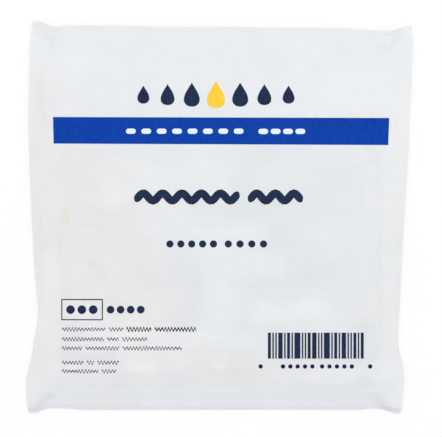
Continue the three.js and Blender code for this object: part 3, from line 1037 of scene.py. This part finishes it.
# The packet: thickness and spacing of its plies, height of the lowest in it, how many stacks of plies there
# are and how many plies in each, and how much shorter each stack is
PLY_MM = 0.06
PLY_PITCH_MM = 0.4
LOWEST_PLY_MM = 0.13
STACKS = 3
PLIES = 3
SETBACK_MM = 10.4

# Where the bends at the packet's ends start, where the creases across it are, and how far the cap stays
# under the front film
BEND_MM = 1.15
CROSS_CREASES_X_MM = (-23.5, -0.5, 22)
CLEAR_MM = 0.12

# The rim: spacing of its pleats, how far it strays, the mesh's step along it, how far its casing is wrapped
# round the elastic on either side, in radians, and how far its ruffle stands out
PLEAT_MM = 1.62
RIM_STRAY_MM = 0.75
RIM_STEP_MM = 0.2
CASING_WRAP = 2.85
RUFFLE_MM = 1.9

# The elastic: radius, and height and spacing of its ribs
ELASTIC_RADIUS_MM = 0.6
ELASTIC_RIB_MM = 0.03
ELASTIC_RIB_PITCH_MM = 0.9


def box_mm(node):
    low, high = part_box(node)
    return np.array(low) / MM, np.array(high) / MM


crown_low, crown_high = box_mm("cap_crown_film")
crown_middle = (crown_low + crown_high) / 2
crown_half = (crown_high - crown_low) / 2
hem_low, hem_high = box_mm("cap_hem")
hem_middle = (hem_low + hem_high) / 2
hem_radius = (hem_high[2] - hem_low[2]) / 2
loop_radius = (hem_high[1] - hem_low[1]) / 2 - hem_radius
loop_half = (hem_high[0] - hem_low[0]) / 2 - hem_radius - loop_radius


def under_the_film(points):
    """The cap yields where the pouch's front film presses on it."""
    room = front_height(points[..., 0], points[..., 1]) - CLEAR_MM
    points[..., 2] = np.minimum(points[..., 2], room)
    return points


def loop_distance(x, y):
    """How far a place is from the rim loop's line, and how far along the loop it lies."""
    dx, dy = x - hem_middle[0], y - hem_middle[1]
    over = np.sign(dx) * np.maximum(0, np.abs(dx) - loop_half)
    away = np.hypot(over, dy)
    return np.abs(away - loop_radius), dx + 3 * np.arctan2(dy, 6)


def crinkled(points):
    """Folded film is never flat: it swells and creases more the higher it lies, and its ends stray."""
    x, y, z = points[..., 0], points[..., 1], points[..., 2]
    share = np.clip((z - crown_low[2]) / (crown_high[2] - crown_low[2]), 0, 1.2)

    # Lumps, the creases across the packet, and pleats that run out from the rim
    stray = 0.8 * soft_noise(y, 0 * y, 9, 47)
    crease = sum(np.exp(-np.abs(x - place - stray) / 0.8) for place in CROSS_CREASES_X_MM)
    distance, along = loop_distance(x, y)
    waver = along * 2 * np.pi / 2.9 + 4 * soft_noise(x, y, 5, 43)
    pleats = 0.4 * np.sin(waver) * np.exp(-distance / 5.5) * (0.65 + 0.35 * soft_noise(x, y, 9, 48))
    inside = 1 - ease((np.abs(x) - 38) / 5)
    rise = share * inside * (layered_noise(x, y, PACKET_LAYERS) + 0.3 * crease + share * pleats)

    # The ends fall short unevenly, and most at their corners
    short = 1.1 * soft_noise(y, z * 6, 5, 44) * ease((np.abs(x) - 30) / 12)
    corner = np.clip((np.abs(y - crown_middle[1]) / crown_half[1] - 0.8) / 0.2, 0, 1) ** 2
    short = np.abs(short) + 1.3 * corner * ease((np.abs(x) - 36) / 8)

    # The long folds stray from ply to ply, and are drawn in at the corners
    fold = 0.7 * soft_noise(x, z * 4, 12, 45) + 0.22 * soft_noise(x, z * 6, 3.5, 49)
    pull = -0.9 * np.sign(y - crown_middle[1]) * ease((np.abs(x) - 38) / 6) * corner

    x = x - np.sign(x) * short
    y = y + fold * (1 - inside * 0.2) + pull
    return np.stack([x, y, z + rise - 0.12 * share], -1)


def half_turn(cx, cz, radius, side, steps=6):
    """Points of a bend to one side, from its lower end to its upper one."""
    angles = (np.arange(steps + 1) / steps - 0.5) * np.pi
    return [(cx + side * radius * math.cos(a), cz + radius * math.sin(a)) for a in angles]


def ply_level(number):
    return crown_low[2] + LOWEST_PLY_MM + number * PLY_PITCH_MM


def between(start, end, step):
    return np.linspace(start, end, max(1, round(abs(end - start) / step)) + 1)


def loose_film(x, y, z):
    """Crinkled film over a grid of places."""
    points = np.stack(np.broadcast_arrays(x, y, z), -1)
    return shell_parts(under_the_film(crinkled(points)), PLY_MM)


def ply_stack(stack):
    """Film run up, back and up again, over the width of the packet."""
    low = crown_low[1] + PLY_PITCH_MM
    high = crown_high[1] - PLY_PITCH_MM - stack * SETBACK_MM
    line = []
    for ply in range(PLIES):
        level = ply_level(stack * PLIES + ply)
        ends = (low, high) if ply % 2 == 0 else (high, low)
        line += [(y, level) for y in between(*ends, 1.0)]
        if ply + 1 < PLIES:
            side = 1 if ply % 2 == 0 else -1
            line += half_turn(ends[1], level + PLY_PITCH_MM / 2, PLY_PITCH_MM / 2, side)[1:-1]
    half = crown_high[0] - BEND_MM
    y, z = np.array(line).T
    return loose_film(between(-half, half, 0.9)[:, None], y, z)


def end_bends(stack):
    """The bends at one end of the packet that carry one stack's plies into the next."""
    side = -1 if stack % 2 else 1
    low = crown_low[1] + PLY_PITCH_MM
    high = crown_high[1] - PLY_PITCH_MM - (stack + 1) * SETBACK_MM
    level = (ply_level(stack * PLIES + PLIES - 1) + ply_level(stack * PLIES + PLIES)) / 2
    y = between(low, high, 1.0)[:, None]
    bends = []
    for ply in range(PLIES):
        radius = (ply + 0.5) * PLY_PITCH_MM
        x, z = np.array(half_turn(side * (crown_high[0] - BEND_MM), level, radius, side, 8)).T
        bends.append(loose_film(x, y, z))
    return bends


def packet_parts():
    """The whole packet: stacks of plies, with the bends between one stack and the next."""
    parts = []
    for stack in range(STACKS):
        parts.append(ply_stack(stack))
        if stack + 1 < STACKS:
            parts += end_bends(stack)
    return joined_parts(parts)


crown = mesh_object("folded_crown_film", *packet_parts(), cap_film, cap_film_inside)
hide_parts("cap_crown_film")
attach(crown, "cap")


def rim_line(step):
    """The rim loop, twice a straight and a bend: distance along it, points, and outward ways."""
    straight = 2 * loop_half
    half = straight + math.pi * loop_radius
    count = round(2 * half / step)
    s = np.arange(count) * (2 * half) / count
    side = np.where(s < half, 1, -1)
    turn = math.pi / 2 + np.maximum(0, s % half - straight) / loop_radius
    nx, ny = side * np.cos(turn), side * np.sin(turn)
    x = side * (loop_half - np.minimum(s % half, straight)) + loop_radius * nx
    y = loop_radius * ny
    stray = RIM_STRAY_MM * soft_noise(x, y, 9, 53)
    return s, x + hem_middle[0] + nx * stray, y + hem_middle[1] + ny * stray, nx, ny


def carried(line, out, up):
    """A section carried round the rim line: out and up are grids, one row for each point of the line."""
    _, x, y, nx, ny = (values[:, None] for values in line)
    return np.stack([x + nx * out, y + ny * out, hem_middle[2] + up], 2)


def gathers(s, spread):
    """Uneven pleats along the rim."""
    warp = 3.2 * soft_noise(s, 0 * s, 5.2, 51) + 0.9 * soft_noise(s, 0 * s + spread, 1.9, 54)
    turn = 2 * np.pi * s / PLEAT_MM + warp + spread
    depth = 0.62 + 0.38 * soft_noise(s, 0 * s + spread, 3, 52)
    return (np.sin(turn) + 0.22 * np.sin(2 * turn + 0.7)) * depth


def rim_casing():
    """The edge of the film folded round the elastic and drawn up into pleats."""
    line = rim_line(RIM_STEP_MM)
    angles = np.linspace(-CASING_WRAP, CASING_WRAP, 27)
    s = line[0][:, None] + 0 * angles[None]
    turn = angles[None] + 0 * s
    radius = hem_radius - 0.3 + 0.24 * gathers(s, 0.5 * np.sin(turn)) + 0.12 * soft_noise(s, turn, 4, 55)
    points = carried(line, radius * np.cos(turn), radius * np.sin(turn))
    return shell_parts(under_the_film(points[:, ::-1]), PLY_MM, closed=True)


def rim_ruffle():
    """The free edge of the hem, standing out round the loop as a fine ruffle."""
    line = rim_line(RIM_STEP_MM)
    out = np.linspace(hem_radius - 0.3, hem_radius + RUFFLE_MM, 8)
    s = line[0][:, None] + 0 * out[None]
    share = (out[None] - out[0]) / (out[-1] - out[0])
    up = -0.75 * share + (0.12 + 0.55 * share) * gathers(s, 1.2) + 0.3 * share * soft_noise(s, 0 * s, 7, 56)
    reach = out[None] + share * layered_noise(s, 0 * s, RUFFLE_LAYERS)
    return shell_parts(under_the_film(carried(line, reach, up)[:, ::-1]), PLY_MM, closed=True)


def rim_heart():
    """The film inside the loop, gathered in from the rim and sunk onto the packet."""
    reach = loop_half + loop_radius - 0.9
    x, share = np.meshgrid(np.arange(-reach, reach, RIM_STEP_MM), np.linspace(-1, 1, 22))
    over = np.maximum(0, np.abs(x) - loop_half)
    y = share * (np.sqrt(loop_radius ** 2 - over ** 2) - 0.6)
    near = np.hypot(over, y) / loop_radius
    sag = -1.2 + 1.5 * near ** 2
    z = hem_middle[2] + sag + (0.15 + 0.3 * near) * gathers(x, 0.8 + 0.3 * y)
    points = np.stack([x + hem_middle[0], y + hem_middle[1], z], 2)
    return shell_parts(under_the_film(points), PLY_MM)


def elastic_ring():
    """The elastic inside the casing, with a faint rib from its winding."""
    line = rim_line(2 * RIM_STEP_MM)
    angles = np.linspace(0, 2 * np.pi, 15)[:-1]
    ribs = ELASTIC_RIB_MM * np.cos(line[0] * 2 * np.pi / ELASTIC_RIB_PITCH_MM)[:, None]
    radius = ELASTIC_RADIUS_MM + ribs + 0 * angles[None]
    return ring_parts(carried(line, radius * np.cos(angles), radius * np.sin(angles))[:, ::-1])


rim_parts = joined_parts([rim_casing(), rim_ruffle(), rim_heart()])
rim = mesh_object("gathered_rim_film", *rim_parts, cap_film, cap_film_inside)
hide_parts("cap_hem")
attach(rim, "cap")

cord = mesh_object("elastic_loop", *elastic_ring(), elastic)
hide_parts("cap_elastic")
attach(cord, "cap")
